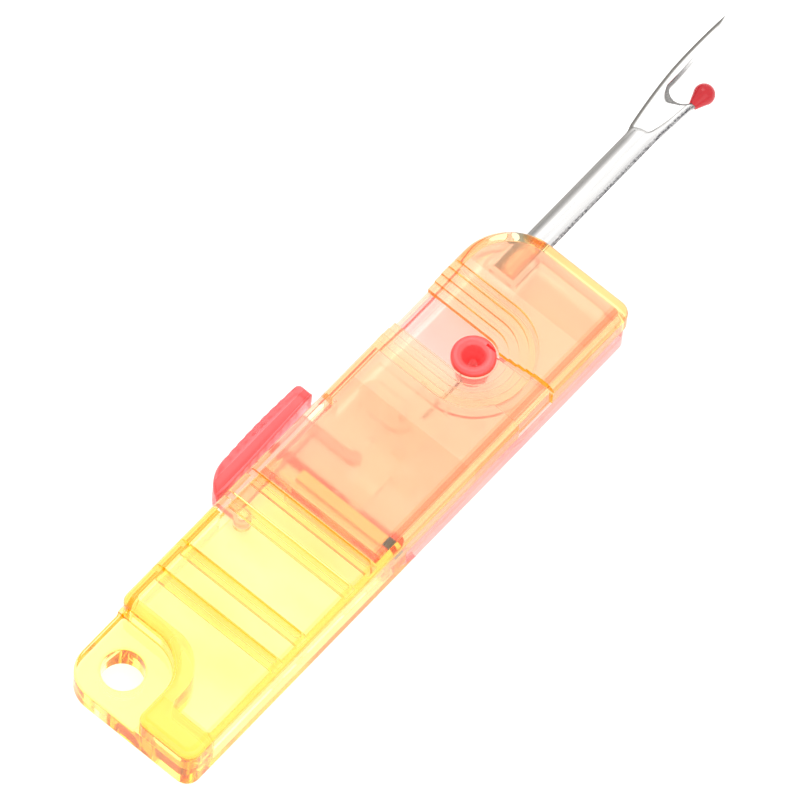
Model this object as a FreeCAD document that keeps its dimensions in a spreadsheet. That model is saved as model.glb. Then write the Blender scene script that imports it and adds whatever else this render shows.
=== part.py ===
import FreeCAD, Part
import Sketcher
import os
from math import asin, cos, hypot, radians, sin

# Seam ripper with a push-lever needle threader in its handle. Millimetres.
# The origin is on the lanyard hole's axis, in the plane of the handle's back.
# +X points to the handle's right edge, +Y towards the blade, +Z out of the front face.

DIMENSIONS = [
    # handle
    ("body_width", 22.0),
    ("body_length", 87.1),
    ("body_thick", 8.6),
    ("split_level", 4.8),
    ("cover_split", 2.4),
    ("left_margin", 5.75),
    ("tail_margin", 5.8),
    ("side_wall", 1.3),
    ("front_skin", 1.5),
    ("back_skin", 1.3),
    ("joint_gap", 0.05),
    ("seam_gap", 0.02),
    ("edge_round", 1.3),
    ("head_left_round", 8.0),
    ("head_right_round", 1.8),
    ("tail_right_round", 2.0),
    ("corner_round", 1.5),
    ("back_round", 0.6),
    ("inner_round", 0.6),
    ("tail_wall", 4.8),
    ("lug_wall", 1.9),
    # lanyard lug
    ("lug_hole_radius", 2.9),
    ("lug_width", 12.6),
    ("lug_length", 11.4),
    ("lug_top", 4.2),
    ("lug_inner_round", 6.0),
    ("lug_outer_round", 4.5),
    # stepped recess round the needle funnel
    ("funnel_x", 4.8),
    ("funnel_y", 63.0),
    ("step_radius", 8.34),
    ("step_pitch", 1.265),
    ("step_drop", 0.43),
    ("recess_floor", 6.0),
    ("recess_floor_skin", 0.65),
    ("band_depth", 0.3),
    ("band_below", 4.4),
    ("slit_offset", 2.25),
    ("slit_width", 0.4),
    # grip grooves across the front face
    ("groove_depth", 0.55),
    ("groove_width", 1.0),
    ("groove_end", 15.0),
    ("groove_rib_width", 1.9),
    ("groove_rib_depth", 0.7),
    # tray and covers
    ("tray_wall", 0.8),
    ("tray_right_wall", 1.2),
    ("tongue_wall", 1.2),
    ("tray_top", 7.05),
    ("tray_start", 36.5),
    ("tray_tongue", 3.9),
    ("head_setback", 0.8),
    ("scarf_length", 3.3),
    ("scarf_start", 35.6),
    # blade
    ("blade_x", -0.3),
    ("blade_width", 3.7),
    ("blade_low", 4.4),
    ("blade_sheet", 0.9),
    ("shank_height", 1.5),
    ("tang_end", 74.6),
    ("edge_bevel", 0.42),
    ("ball_radius", 1.475),
    ("ball_y", 112.5),
    ("keeper_x", 0.7),
    ("keeper_y", 50.7),
    ("keeper_length", 8.4),
    ("keeper_width", 4.2),
    ("keeper_low", 3.0),
    ("keeper_high", 4.35),
    # needle funnel
    ("ring_radius", 3.0),
    ("ring_height", 0.92),
    ("barrel_radius", 2.2),
    ("mouth_radius", 1.55),
    ("needle_radius", 0.75),
    # thumb lever
    ("pivot_x", -3.05),
    ("pivot_y", 26.8),
    ("pivot_radius", 0.6),
    ("hub_radius", 1.2),
    ("hub_top", 3.3),
    ("lever_low", 2.0),
    ("lever_top", 6.8),
    ("nose_x", 1.95),
    ("nose_y", 43.1),
    ("nose_radius", 0.9),
    ("slot_low_end", 23.9),
    ("slot_high_end", 45.9),
    # threader slide, hook and spring
    ("slide_low", 1.4),
    ("slide_top", 2.8),
    ("slide_left", 2.25),
    ("slide_right", 7.35),
    ("slide_front", 56.4),
    ("slide_tail", 38.0),
    ("nose_gap", 0.06),
    ("hook_level", 2.1),
    ("hook_radius", 0.25),
    ("hook_tip", 61.9),
    ("spring_x", 10.2),
    ("spring_low", 1.9),
    ("spring_top", 3.5),
    ("spring_half", 0.6),
    ("leaf", 0.35),
    ("ear_front", 45.2),
    ("stop_rib", 56.8),
    ("window_x", 4.9),
    ("window_y", 41.7),
    ("window_length", 5.6),
    ("window_width", 2.0),
]

document = FreeCAD.newDocument("seam_ripper")
sheet = document.addObject("Spreadsheet::Sheet", "sizes")


class Size:
    """A length made from the sheet's cells, as a number and as the expression that gives it."""

    def __init__(self, number, text):
        self.number = number
        self.text = text

    def combined(self, other, sign, number):
        other = as_size(other)
        return Size(number(self.number, other.number), f"({self.text} {sign} {other.text})")

    def __add__(self, other):
        return self.combined(other, "+", lambda a, b: a + b)

    def __sub__(self, other):
        return self.combined(other, "-", lambda a, b: a - b)

    def __mul__(self, other):
        return self.combined(other, "*", lambda a, b: a * b)

    def __neg__(self):
        return Size(-self.number, f"(0 - {self.text})")


def as_size(value):
    return value if isinstance(value, Size) else Size(float(value), f"{float(value):.6f}")


def fill_sheet():
    """Write the driving dimensions into the sheet and return them by name."""
    named = {}
    for row, (alias, value) in enumerate(DIMENSIONS, start=1):
        sheet.set(f"A{row}", alias)
        sheet.set(f"B{row}", str(value))
        sheet.setAlias(f"B{row}", alias)
        named[alias] = Size(value, f"sizes.{alias}")
    document.recompute()
    return named


d = fill_sheet()

# Places worked out from the driving dimensions.
x_left = -d["left_margin"]
x_right = d["body_width"] - d["left_margin"]
y_tail = -d["tail_margin"]
y_head = d["body_length"] - d["tail_margin"]
z_front = d["body_thick"]
split = d["split_level"]
shell_low = split + d["seam_gap"]
cover_split = d["cover_split"]
cover_top = cover_split - d["seam_gap"]
wall = d["side_wall"]
gap = d["joint_gap"]
ceiling = z_front - d["front_skin"]
floor = d["back_skin"]
lug_right = x_left + d["lug_width"]
lug_top_y = y_tail + d["lug_length"]
tail_cavity_y = y_tail + d["tail_wall"]
slit_y = d["funnel_y"] + d["slit_offset"]
slit_half = d["slit_width"] * 0.5
blade_left = d["blade_x"] - d["blade_width"] * 0.5
blade_right = d["blade_x"] + d["blade_width"] * 0.5
blade_top = d["blade_low"] + d["blade_sheet"]
tray_plate = d["recess_floor"]
clear = as_size(1.0)


# ---- sketch profiles ------------------------------------------------------------------

def fix_point(sketch, geometry, end, x, y):
    """Tie one end of a sketch edge to its place, measured from the sketch's origin."""
    for kind, size in (("DistanceX", x), ("DistanceY", y)):
        index = sketch.addConstraint(Sketcher.Constraint(kind, -1, 1, geometry, end, size.number))
        sketch.setExpression(f"Constraints[{index}]", size.text)


def unit(start, end):
    length = hypot(end[0].number - start[0].number, end[1].number - start[1].number)
    return (end[0].number - start[0].number) / length, (end[1].number - start[1].number) / length


def polygon(*corners):
    """A closed outline. A corner is (x, y), or (x, y, radius) where both its edges lie along axes."""

    def draw(sketch):
        places = [(as_size(c[0]), as_size(c[1])) for c in corners]
        rounds = [as_size(c[2]) if len(c) > 2 else None for c in corners]
        arrive = []
        leave = []
        for i, place in enumerate(places):
            back = unit(place, places[i - 1])
            ahead = unit(place, places[(i + 1) % len(places)])
            if rounds[i] is None:
                arrive.append(place)
                leave.append(place)
            else:
                arrive.append(tuple(place[k] + rounds[i] * round(back[k]) for k in (0, 1)))
                leave.append(tuple(place[k] + rounds[i] * round(ahead[k]) for k in (0, 1)))
        for i in range(len(places)):
            start = leave[i]
            end = arrive[(i + 1) % len(places)]
            line = Part.LineSegment(point(start), point(end))
            index = sketch.addGeometry(line, False)
            fix_point(sketch, index, 1, *start)
            fix_point(sketch, index, 2, *end)
        for i, radius in enumerate(rounds):
            if radius is not None:
                add_round(sketch, arrive[i], leave[i], places[i], radius, i, len(places))

    return draw


def point(place):
    return FreeCAD.Vector(place[0].number, place[1].number, 0)


def add_arc(sketch, start, middle, end):
    """Add an arc, drawn anticlockwise. Returns its index and which of its ends lie at start and end."""
    forward = (middle - start).cross(end - middle).z > 0
    arc = Part.Arc(start, middle, end) if forward else Part.Arc(end, middle, start)
    return sketch.addGeometry(arc, False), (1, 2) if forward else (2, 1)


def tie_middle(sketch, index, chord):
    """Take an arc's last freedom: its radius, or its centre's X where it is half a circle."""
    arc = sketch.Geometry[index]
    if abs(arc.Radius - chord / 2) < 1e-6:
        sketch.addConstraint(Sketcher.Constraint("DistanceX", -1, 1, index, 3, arc.Center.x))
    else:
        sketch.addConstraint(Sketcher.Constraint("Radius", index, arc.Radius))


def add_round(sketch, start, end, corner, radius, i, count):
    """Join two edges with a tangent arc that is tied to their ends."""
    centre = point(start) + point(end) - point(corner)
    toward = point(corner) - centre
    middle = centre + toward * (radius.number / toward.Length)
    index, ends = add_arc(sketch, point(start), middle, point(end))
    before = (i - 1) % count
    sketch.addConstraint(Sketcher.Constraint("Coincident", index, ends[0], before, 2))
    sketch.addConstraint(Sketcher.Constraint("Coincident", index, ends[1], i, 1))
    bound = sketch.addConstraint(Sketcher.Constraint("Radius", index, radius.number))
    sketch.setExpression(f"Constraints[{bound}]", radius.text)


def rectangle(low_x, high_x, low_y, high_y, radius=None):
    tail = () if radius is None else (radius,)
    return polygon(
        (low_x, low_y) + tail,
        (high_x, low_y) + tail,
        (high_x, high_y) + tail,
        (low_x, high_y) + tail,
    )


def disc(x, y, radius):
    """A full circle."""

    def draw(sketch):
        centre = FreeCAD.Vector(as_size(x).number, as_size(y).number, 0)
        circle = Part.Circle(centre, FreeCAD.Vector(0, 0, 1), as_size(radius).number)
        index = sketch.addGeometry(circle, False)
        fix_point(sketch, index, 3, as_size(x), as_size(y))
        bound = sketch.addConstraint(Sketcher.Constraint("Radius", index, as_size(radius).number))
        sketch.setExpression(f"Constraints[{bound}]", as_size(radius).text)

    return draw


def tongue(start_x, centre_x, centre_y, radius):
    """A strip from start_x to centre_x along X, with a half-round end of the given radius."""

    def draw(sketch):
        r = as_size(radius)
        high = as_size(centre_y) + r
        low = as_size(centre_y) - r
        begin = as_size(start_x)
        middle = as_size(centre_x)
        side = 1.0 if middle.number > begin.number else -1.0
        runs = [
            ((middle, high), (begin, high)),
            ((begin, high), (begin, low)),
            ((begin, low), (middle, low)),
        ]
        for start, end in runs:
            index = sketch.addGeometry(Part.LineSegment(point(start), point(end)), False)
            fix_point(sketch, index, 1, *start)
            fix_point(sketch, index, 2, *end)
        crown = FreeCAD.Vector(middle.number + side * r.number, as_size(centre_y).number, 0)
        index, ends = add_arc(sketch, point((middle, low)), crown, point((middle, high)))
        sketch.addConstraint(Sketcher.Constraint("Coincident", index, ends[0], 2, 2))
        sketch.addConstraint(Sketcher.Constraint("Coincident", index, ends[1], 0, 1))
        bound = sketch.addConstraint(Sketcher.Constraint("DistanceX", -1, 1, index, 3, middle.number))
        sketch.setExpression(f"Constraints[{bound}]", middle.text)

    return draw


def chain(*runs):
    """A closed outline of runs. A run is (x, y) for a straight edge to the next point, or
    (x, y, middle_x, middle_y) for an arc to the next point through the middle one."""

    def draw(sketch):
        places = [(as_size(run[0]), as_size(run[1])) for run in runs]
        for i, run in enumerate(runs):
            start = places[i]
            end = places[(i + 1) % len(places)]
            if len(run) == 2:
                index = sketch.addGeometry(Part.LineSegment(point(start), point(end)), False)
                ends = (1, 2)
            else:
                middle = point((as_size(run[2]), as_size(run[3])))
                index, ends = add_arc(sketch, point(start), middle, point(end))
                tie_middle(sketch, index, (point(end) - point(start)).Length)
            fix_point(sketch, index, ends[0], *start)
            fix_point(sketch, index, ends[1], *end)

    return draw


# ---- features -------------------------------------------------------------------------

def new_body(name):
    body = document.addObject("PartDesign::Body", name)
    body.Label = name
    return body


def draw_on(body, name, plane, offset, profile, across=0):
    """A sketch on one of the body's origin planes, moved along the plane's normal and across it."""
    sketch = body.newObject("Sketcher::SketchObject", name)
    support = [f for f in body.Origin.OriginFeatures if f.Role == plane][0]
    sketch.AttachmentSupport = [(support, "")]
    sketch.MapMode = "FlatFace"
    offset = as_size(offset)
    sketch.setExpression("AttachmentOffset.Base.x", as_size(across).text)
    sketch.setExpression("AttachmentOffset.Base.z", offset.text)
    profile(sketch)
    return sketch


def grow(body, name, profile, low, high, plane="XY_Plane"):
    """Add a prism between two levels."""
    low = as_size(low)
    high = as_size(high)
    sketch = draw_on(body, name + "_outline", plane, low, profile)
    pad = body.newObject("PartDesign::Pad", name)
    pad.Profile = sketch
    pad.setExpression("Length", (high - low).text)
    settle(body, name, pad, 1)
    return pad


def cut(body, name, profile, low, high, plane="XY_Plane"):
    """Remove a prism between two levels."""
    low = as_size(low)
    high = as_size(high)
    sketch = draw_on(body, name + "_outline", plane, low, profile)
    pocket = body.newObject("PartDesign::Pocket", name)
    pocket.Profile = sketch
    pocket.Reversed = True
    pocket.setExpression("Length", (high - low).text)
    settle(body, name, pocket, -1)
    return pocket


volumes = {}


def settle(body, name, feature, sign):
    """Recompute, and stop if the feature failed or changed the volume the wrong way."""
    document.recompute()
    if not feature.isValid() or feature.Shape.isNull() or not feature.Shape.isValid():
        raise RuntimeError(f"{body.Label}: {name} failed")
    volume = feature.Shape.Volume
    change = volume - volumes.get(body.Label, 0.0)
    if change * sign <= 0:
        raise RuntimeError(f"{body.Label}: {name} changed the volume by {change:.4f}")
    volumes[body.Label] = volume


def revolve(body, name, profile, plane, offset, across):
    """Turn a profile about its sketch's own upright axis."""
    sketch = draw_on(body, name + "_outline", plane, offset, profile, across)
    turned = body.newObject("PartDesign::Revolution", name)
    turned.Profile = sketch
    turned.ReferenceAxis = (sketch, ["V_Axis"])
    turned.Angle = 360
    settle(body, name, turned, 1)
    return turned


def edges_where(feature, test):
    return [f"Edge{i}" for i, edge in enumerate(feature.Shape.Edges, start=1) if test(edge)]


def soften(body, name, base, test, radius, kind="PartDesign::Fillet"):
    """Round or chamfer the edges that pass the test."""
    feature = body.newObject(kind, name)
    feature.Base = (base, edges_where(base, test))
    feature.setExpression("Radius" if kind.endswith("Fillet") else "Size", as_size(radius).text)
    settle(body, name, feature, -1)
    return feature


def at_level(level):
    """True for an edge that lies wholly in the plane Z = level."""
    height = as_size(level).number

    def test(edge):
        box = edge.BoundBox
        return abs(box.ZMin - height) < 1e-4 and abs(box.ZMax - height) < 1e-4

    return test


# ---- handle casing --------------------------------------------------------------------

LEVER_ROOM_X = x_left + 4.7
PAD_SWEEP_X = -3.7
KEEPER_POSTS = [-1.9, 3.5]
KEEPER_POST_RADIUS = as_size(0.6)
SOCKET_WALL = as_size(0.8)
SOCKET_LOW = 3.4
END_WALL_LOW = 1.6
SLIDE_RIB_FRONT = (2.6, 7.0, 55.0, 55.8)
SLIDE_RIB_REAR = (5.4, 7.0, 46.4, 47.2)
GUIDE_LEFT_START = 46.6
GUIDE_RIGHT_START = 50.2
GUIDE_END = 57.0
GUIDE_REACH = 0.85

# Shallow reliefs in the underside of the tray's plate, over the keeper and the slide.
RELIEF_DEPTH = as_size(0.15)
ROOT = 0.3  # how far a post or rib reaches into the plate that carries it
KEEPER_RELIEF = (as_size(1.2), as_size(50.0))
SLIDE_RELIEF = [(3.2, 54.0), (3.2, 42.2), (6.0, 36.8), (8.3, 36.8), (8.3, 54.0)]

GRIP_GROOVES = [30.6, 26.3, 17.0, 12.2]
PIVOT_BOSS_RADIUS = 1.25
STEPS = 4
INNER_ROUND = d["inner_round"]
WELL_RADIUS = d["step_radius"] - d["step_pitch"] * STEPS
PIVOT_SOCKET_RADIUS = d["pivot_radius"] + d["seam_gap"]
PIVOT_SOCKET_LOW = 0.9
LEVER_CLEARANCE = 0.15


def recess(radius, start=None):
    """The outline of one level of the stepped recess, open to the handle's left edge."""
    begin = x_left - clear if start is None else start
    return tongue(begin, d["funnel_x"], d["funnel_y"], radius)


def make_front_shell():
    """Front half of the handle, over its full length."""
    body = new_body("front_shell")
    outline = polygon(
        (lug_right, y_tail, d["corner_round"]),
        (x_right, y_tail, d["tail_right_round"]),
        (x_right, y_head, d["head_right_round"]),
        (x_left, y_head, d["head_left_round"]),
        (x_left, lug_top_y, d["corner_round"]),
        (lug_right, lug_top_y, d["lug_inner_round"]),
    )
    block = grow(body, "block", outline, shell_low, z_front)
    soften(body, "front_round", block, at_level(z_front), d["edge_round"])
    inside = polygon(
        (lug_right + d["lug_wall"], tail_cavity_y, INNER_ROUND),
        (x_right - wall, tail_cavity_y, INNER_ROUND),
        (x_right - wall, y_head - wall, INNER_ROUND),
        (x_left + wall, y_head - wall, d["head_left_round"] - wall),
        (x_left + wall, lug_top_y + d["lug_wall"], INNER_ROUND),
        (lug_right + d["lug_wall"], lug_top_y + d["lug_wall"], d["lug_inner_round"]),
    )
    cut(body, "inside", inside, split, ceiling)
    room = SOCKET_WALL + gap
    socket_room = rectangle(blade_left - room, blade_right + room, d["tang_end"], y_head - wall)
    cut(body, "socket_room", socket_room, split, d["recess_floor"] + gap)
    boss_low = d["recess_floor"] + gap
    boss_radius = d["step_radius"] - 0.4
    grow(body, "recess_boss", recess(boss_radius, x_left + 0.6), boss_low, ceiling + 0.1)
    for step in range(STEPS):
        radius = d["step_radius"] - d["step_pitch"] * step
        tread = z_front - d["step_drop"] * (step + 1)
        cut(body, f"step_{step + 1}", recess(radius), tread, z_front + clear)
    cut(body, "well", recess(WELL_RADIUS), d["recess_floor"], z_front + clear)
    strip = rectangle(
        x_left + 0.55,
        x_left + wall + 0.2,
        d["funnel_y"] - WELL_RADIUS,
        d["funnel_y"] + WELL_RADIUS,
    )
    cut(body, "well_edge", strip, split, d["recess_floor"] + 0.1)
    band_low = d["funnel_y"] - d["band_below"]
    band = rectangle(d["funnel_x"], x_right + clear, band_low, slit_y)
    cut(body, "band", band, z_front - d["band_depth"], z_front + clear)
    side = rectangle(x_right - d["band_depth"], x_right + clear, band_low, slit_y)
    cut(body, "band_side", side, split - clear, z_front + clear)
    slit = rectangle(d["funnel_x"], x_right - wall, slit_y - slit_half, slit_y + slit_half)
    cut(body, "thread_slit", slit, split, z_front + clear)
    notch = rectangle(x_right - wall - 0.1, x_right + clear, slit_y - slit_half, slit_y + slit_half)
    cut(body, "thread_notch", notch, z_front - d["edge_round"], z_front + clear)
    rib_half = d["groove_rib_width"] * 0.5
    for number, y in enumerate(GRIP_GROOVES, start=1):
        rib = rectangle(x_left + wall - 0.1, d["groove_end"], as_size(y) - rib_half, rib_half + y)
        grow(body, f"groove_rib_{number}", rib, ceiling - d["groove_rib_depth"], ceiling + 0.1)
        half = d["groove_width"] * 0.5
        groove = tongue(x_left - clear, d["groove_end"] - half, y, half)
        cut(body, f"grip_groove_{number}", groove, z_front - d["groove_depth"], z_front + clear)
    slot = rectangle(x_left - clear, x_left + wall + 0.1, d["slot_low_end"], d["slot_high_end"])
    cut(body, "lever_slot", slot, split - clear, d["lever_top"] + LEVER_CLEARANCE)
    exit_slot = rectangle(blade_left - gap, blade_right + gap, y_head - wall - 0.2, y_head + clear)
    cut(body, "blade_slot", exit_slot, split - clear, d["blade_low"] + d["shank_height"] + gap)
    return body


def make_handle_back():
    """Back half of the tail, with the lanyard lug in its corner."""
    body = new_body("handle_back")
    end = d["scarf_start"] - gap
    top_end = d["tray_start"] - gap
    lower = polygon(
        (x_left, y_tail, d["lug_outer_round"]),
        (x_right, y_tail, d["tail_right_round"]),
        (x_right, end),
        (x_left, end),
    )
    grow(body, "lower_block", lower, 0, cover_split)
    upper = polygon(
        (x_left, y_tail, d["lug_outer_round"]),
        (x_right, y_tail, d["tail_right_round"]),
        (x_right, top_end),
        (x_left, top_end),
    )
    grow(body, "upper_block", upper, cover_split, split)
    scarf = polygon(
        (end - 0.5, 0),
        (end + d["scarf_length"], 0),
        (end, cover_split),
        (end - 0.5, cover_split),
    )
    block = grow(body, "scarf", scarf, x_left, x_right, plane="YZ_Plane")
    soften(body, "back_round", block, back_edge, d["back_round"])
    lug = polygon(
        (x_left - clear, y_tail - clear),
        (lug_right, y_tail - clear),
        (lug_right, lug_top_y, d["lug_inner_round"]),
        (x_left - clear, lug_top_y),
    )
    cut(body, "lug_face", lug, d["lug_top"], split + clear)
    inside = polygon(
        (lug_right + d["lug_wall"], tail_cavity_y, INNER_ROUND),
        (x_right - wall, tail_cavity_y, INNER_ROUND),
        (x_right - wall, end - 0.7, INNER_ROUND),
        (x_left + wall, end - 0.7, INNER_ROUND),
        (x_left + wall, lug_top_y + d["lug_wall"], INNER_ROUND),
        (lug_right + d["lug_wall"], lug_top_y + d["lug_wall"], d["lug_inner_round"]),
    )
    cut(body, "inside", inside, floor, split + clear)
    opening = rectangle(x_left - clear, LEVER_ROOM_X, d["slot_low_end"], top_end + clear)
    cut(body, "lever_slot", opening, d["lever_low"] - LEVER_CLEARANCE, split + clear)
    boss = disc(d["pivot_x"], d["pivot_y"], PIVOT_BOSS_RADIUS)
    grow(body, "pivot_boss", boss, floor - 0.1, d["lever_low"] - gap)
    pivot_hole = disc(d["pivot_x"], d["pivot_y"], PIVOT_SOCKET_RADIUS)
    cut(body, "pivot_socket", pivot_hole, PIVOT_SOCKET_LOW, d["lever_low"])
    hole = cut(body, "lanyard_hole", disc(0, 0, d["lug_hole_radius"]), -clear, split + clear)
    soften(body, "lug_round", hole, at_level(d["lug_top"]), 0.35)
    return body


def back_edge(edge):
    """True for an outer edge of the back face, other than the scarf's."""
    box = edge.BoundBox
    scarf_edge = box.YLength < 1e-4 and lug_top_y.number < box.YMin < d["keeper_y"].number
    return at_level(0)(edge) and not scarf_edge


def make_mechanism_tray():
    """Inner tray of the blade end: it carries the funnel and the blade, and roofs the threader."""
    body = new_body("mechanism_tray")
    head = y_head - d["head_setback"]
    inset = wall + gap
    tongue_start = d["tray_start"] - d["tray_tongue"]
    rim = polygon(
        (x_left, d["tray_start"]),
        (x_right, d["tray_start"]),
        (x_right, head, 1.5),
        (x_left, head, d["head_left_round"] - 0.5),
    )
    grow(body, "rim", rim, cover_split, split)
    skirt = polygon(
        (x_left + inset, tongue_start),
        (x_right - inset, tongue_start),
        (x_right - inset, y_head - inset, INNER_ROUND),
        (x_left + inset, y_head - inset, d["head_left_round"] - inset),
    )
    grow(body, "skirt", skirt, split, d["tray_top"])
    deep = inset + d["tray_wall"]
    deep_right = inset + d["tray_right_wall"]
    inside = polygon(
        (x_left + deep, tongue_start + d["tongue_wall"], INNER_ROUND),
        (x_right - deep_right, tongue_start + d["tongue_wall"], INNER_ROUND),
        (x_right - deep_right, y_head - deep - 0.2, INNER_ROUND),
        (x_left + deep, y_head - deep - 0.2, d["head_left_round"] - deep),
    )
    cut(body, "inside", inside, cover_split - clear, tray_plate)
    slide_relief = polygon(*SLIDE_RELIEF)
    cut(body, "slide_relief", slide_relief, split, tray_plate + RELIEF_DEPTH * 0.6)
    keeper_relief = oblong(*KEEPER_RELIEF, d["keeper_length"], d["keeper_width"])
    cut(body, "keeper_relief", keeper_relief, split, tray_plate + RELIEF_DEPTH)
    end_wall = rectangle(
        LEVER_ROOM_X + 0.1,
        x_right - inset,
        tongue_start,
        tongue_start + d["tongue_wall"],
    )
    grow(body, "tongue_end_wall", end_wall, END_WALL_LOW, split + 0.1)
    recess_radius = d["step_radius"] - 0.35
    recess_low = tray_plate - d["recess_floor_skin"]
    floor_outline = recess(recess_radius + 0.9, x_left + deep - 0.3)
    grow(body, "recess_floor", floor_outline, recess_low, tray_plate + 0.1)
    cut(body, "recess", recess(recess_radius), tray_plate, z_front)
    well_radius = WELL_RADIUS - gap
    strip = rectangle(
        x_left + 0.6,
        x_left + deep,
        d["funnel_y"] - well_radius,
        d["funnel_y"] + well_radius,
    )
    grow(body, "well_edge", strip, split - 0.1, tray_plate)
    socket = rectangle(
        blade_left - SOCKET_WALL,
        blade_right + SOCKET_WALL,
        d["tang_end"] - SOCKET_WALL,
        y_head - deep,
    )
    grow(body, "blade_socket", socket, SOCKET_LOW, tray_plate + 0.01)
    slot = rectangle(blade_left - gap, blade_right + gap, d["tang_end"] - gap, y_head + clear)
    cut(body, "blade_slot", slot, d["blade_low"] - gap, tray_plate)
    for post, x in enumerate(KEEPER_POSTS, start=1):
        post_outline = disc(x, d["keeper_y"], KEEPER_POST_RADIUS)
        grow(body, f"keeper_post_{post}", post_outline, d["keeper_low"], tray_plate + ROOT)
    front_rib = rectangle(*SLIDE_RIB_FRONT)
    grow(body, "slide_rib_front", front_rib, d["slide_top"] + 0.1, recess_low + 0.1)
    rear_rib = rectangle(*SLIDE_RIB_REAR)
    grow(body, "slide_rib_rear", rear_rib, d["slide_top"] + 0.1, tray_plate + ROOT)
    seat = disc(d["funnel_x"], d["funnel_y"], d["barrel_radius"] + gap)
    cut(body, "funnel_seat", seat, recess_low - 0.1, z_front)
    slit = rectangle(
        d["funnel_x"] - 1.3,
        x_right - deep,
        slit_y - slit_half,
        slit_y + slit_half,
    )
    cut(body, "thread_slit", slit, recess_low - 0.1, z_front)
    sweep = rectangle(x_left - clear, PAD_SWEEP_X, tongue_start - clear, d["slot_high_end"])
    cut(body, "pad_sweep", sweep, cover_split - clear, z_front)
    arm_room = rectangle(PAD_SWEEP_X - 0.1, LEVER_ROOM_X, tongue_start - clear, d["slot_high_end"])
    cut(body, "arm_room", arm_room, cover_split - clear, split + 0.1)
    return body


def make_back_cover():
    """Back cover of the blade end, with the slide's guide ribs on its floor."""
    body = new_body("back_cover")
    head = y_head - d["head_setback"]
    start = d["scarf_start"]
    outline = polygon(
        (x_left, start),
        (x_right, start),
        (x_right, head, 1.5),
        (x_left, head, d["head_left_round"] - 0.5),
    )
    grow(body, "block", outline, 0, cover_top)
    scarf = polygon((start, 0), (start + d["scarf_length"], 0), (start, cover_split))
    block = cut(body, "scarf", scarf, x_left - clear, x_right + clear, plane="YZ_Plane")
    soften(body, "back_round", block, back_edge, d["back_round"])
    inside = polygon(
        (x_left + wall, start - clear),
        (x_right - wall, start - clear),
        (x_right - wall, head - wall, INNER_ROUND),
        (x_left + wall, head - wall, d["head_left_round"] - wall),
    )
    cut(body, "inside", inside, floor, cover_split + clear)
    lever_room = rectangle(x_left - clear, LEVER_ROOM_X, start - clear, d["slot_high_end"])
    cut(body, "lever_slot", lever_room, d["lever_low"] - LEVER_CLEARANCE, cover_split + clear)
    rib_low = floor - 0.1
    rib_top = d["slide_top"] + 0.1
    left = d["slide_left"]
    left_rib = rectangle(left - GUIDE_REACH, left - gap, GUIDE_LEFT_START, GUIDE_END)
    grow(body, "slide_guide_left", left_rib, rib_low, rib_top)
    right = d["slide_right"]
    right_rib = rectangle(right + gap, right + GUIDE_REACH, GUIDE_RIGHT_START, GUIDE_END)
    grow(body, "slide_guide_right", right_rib, rib_low, rib_top)
    stop = rectangle(d["spring_x"] - 1.3, d["spring_x"] + 1.3, d["stop_rib"], d["stop_rib"] + 1.0)
    grow(body, "spring_stop", stop, rib_low, d["spring_top"] + 0.3)
    window = oblong(d["window_x"], d["window_y"], d["window_length"], d["window_width"])
    cut(body, "window", window, -clear, floor + 0.2)
    return body


# ---- blade ----------------------------------------------------------------------------

def oblong(x, y, length, width):
    """A bar along X with half-round ends."""
    half = width * 0.5
    reach = length * 0.5 - half
    return chain(
        (x - reach, y - half),
        (x + reach, y - half, x + reach + half, y),
        (x + reach, y + half),
        (x - reach, y + half, x - reach - half, y),
    )


BALL_TANGENT = radians(32)  # where the teardrop's neck leaves the ball, below its middle

# Outline of the fork, from the neck's left side round both prongs. The long prong bows out to
# the left and ends in a point; the short one stays straight under the ball.
FORK_START = 100.7
SHANK_END = 105.2
SLOPE_LENGTH = 4.1
SHANK_RIM = 0.75
BALL_NECK_RADIUS = 0.62
PRONG_LEFT = as_size(1.5)
PRONG_RIGHT = as_size(2.2)
PRONG_FOOT = as_size(110.2)
PRONG_TOP = as_size(111.9)


def make_blade():
    """Half-round shank and flat fork, pressed from one strip of steel."""
    body = new_body("ripper_blade")
    low = d["blade_low"]
    crown = low + d["shank_height"]
    shank = chain(
        (blade_left, low, d["blade_x"], crown),
        (blade_right, low),
        (blade_right - SHANK_RIM, low, d["blade_x"], crown - d["blade_sheet"]),
        (blade_left + SHANK_RIM, low),
    )
    grow(body, "shank", shank, -SHANK_END, -d["tang_end"], plane="XZ_Plane")
    foot = SHANK_END + 0.1
    slope = polygon(
        (foot, blade_top),
        (foot - SLOPE_LENGTH, crown + 0.05),
        (foot - SLOPE_LENGTH, crown + clear),
        (foot + SLOPE_LENGTH, crown + clear),
        (foot + SLOPE_LENGTH, blade_top),
    )
    cut(body, "fork_slope", slope, -d["blade_width"], d["blade_width"], plane="YZ_Plane")
    fork = chain(
        (blade_left, FORK_START),
        (blade_right, FORK_START),
        (blade_right, 102.7),
        (1.95, 109.6),
        (PRONG_RIGHT, PRONG_FOOT),
        (PRONG_RIGHT, PRONG_TOP),
        (PRONG_LEFT, PRONG_TOP),
        (PRONG_LEFT, PRONG_FOOT),
        (1.27, 110.1, -0.45, 109.1),
        (-2.1, 110.3, -2.35, 116.2),
        (-3.55, 123.1, -3.75, 117.2),
        (-3.65, 112.6, -3.05, 107.0),
        (blade_left, 101.7),
    )
    forked = grow(body, "fork", fork, low, blade_top)
    bevel = body.newObject("PartDesign::Chamfer", "edge_bevel")
    bevel.Base = (forked, edges_where(forked, crotch_edge))
    bevel.setExpression("Size", "sizes.edge_bevel")
    settle(body, "edge_bevel", bevel, -1)
    return body


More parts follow.
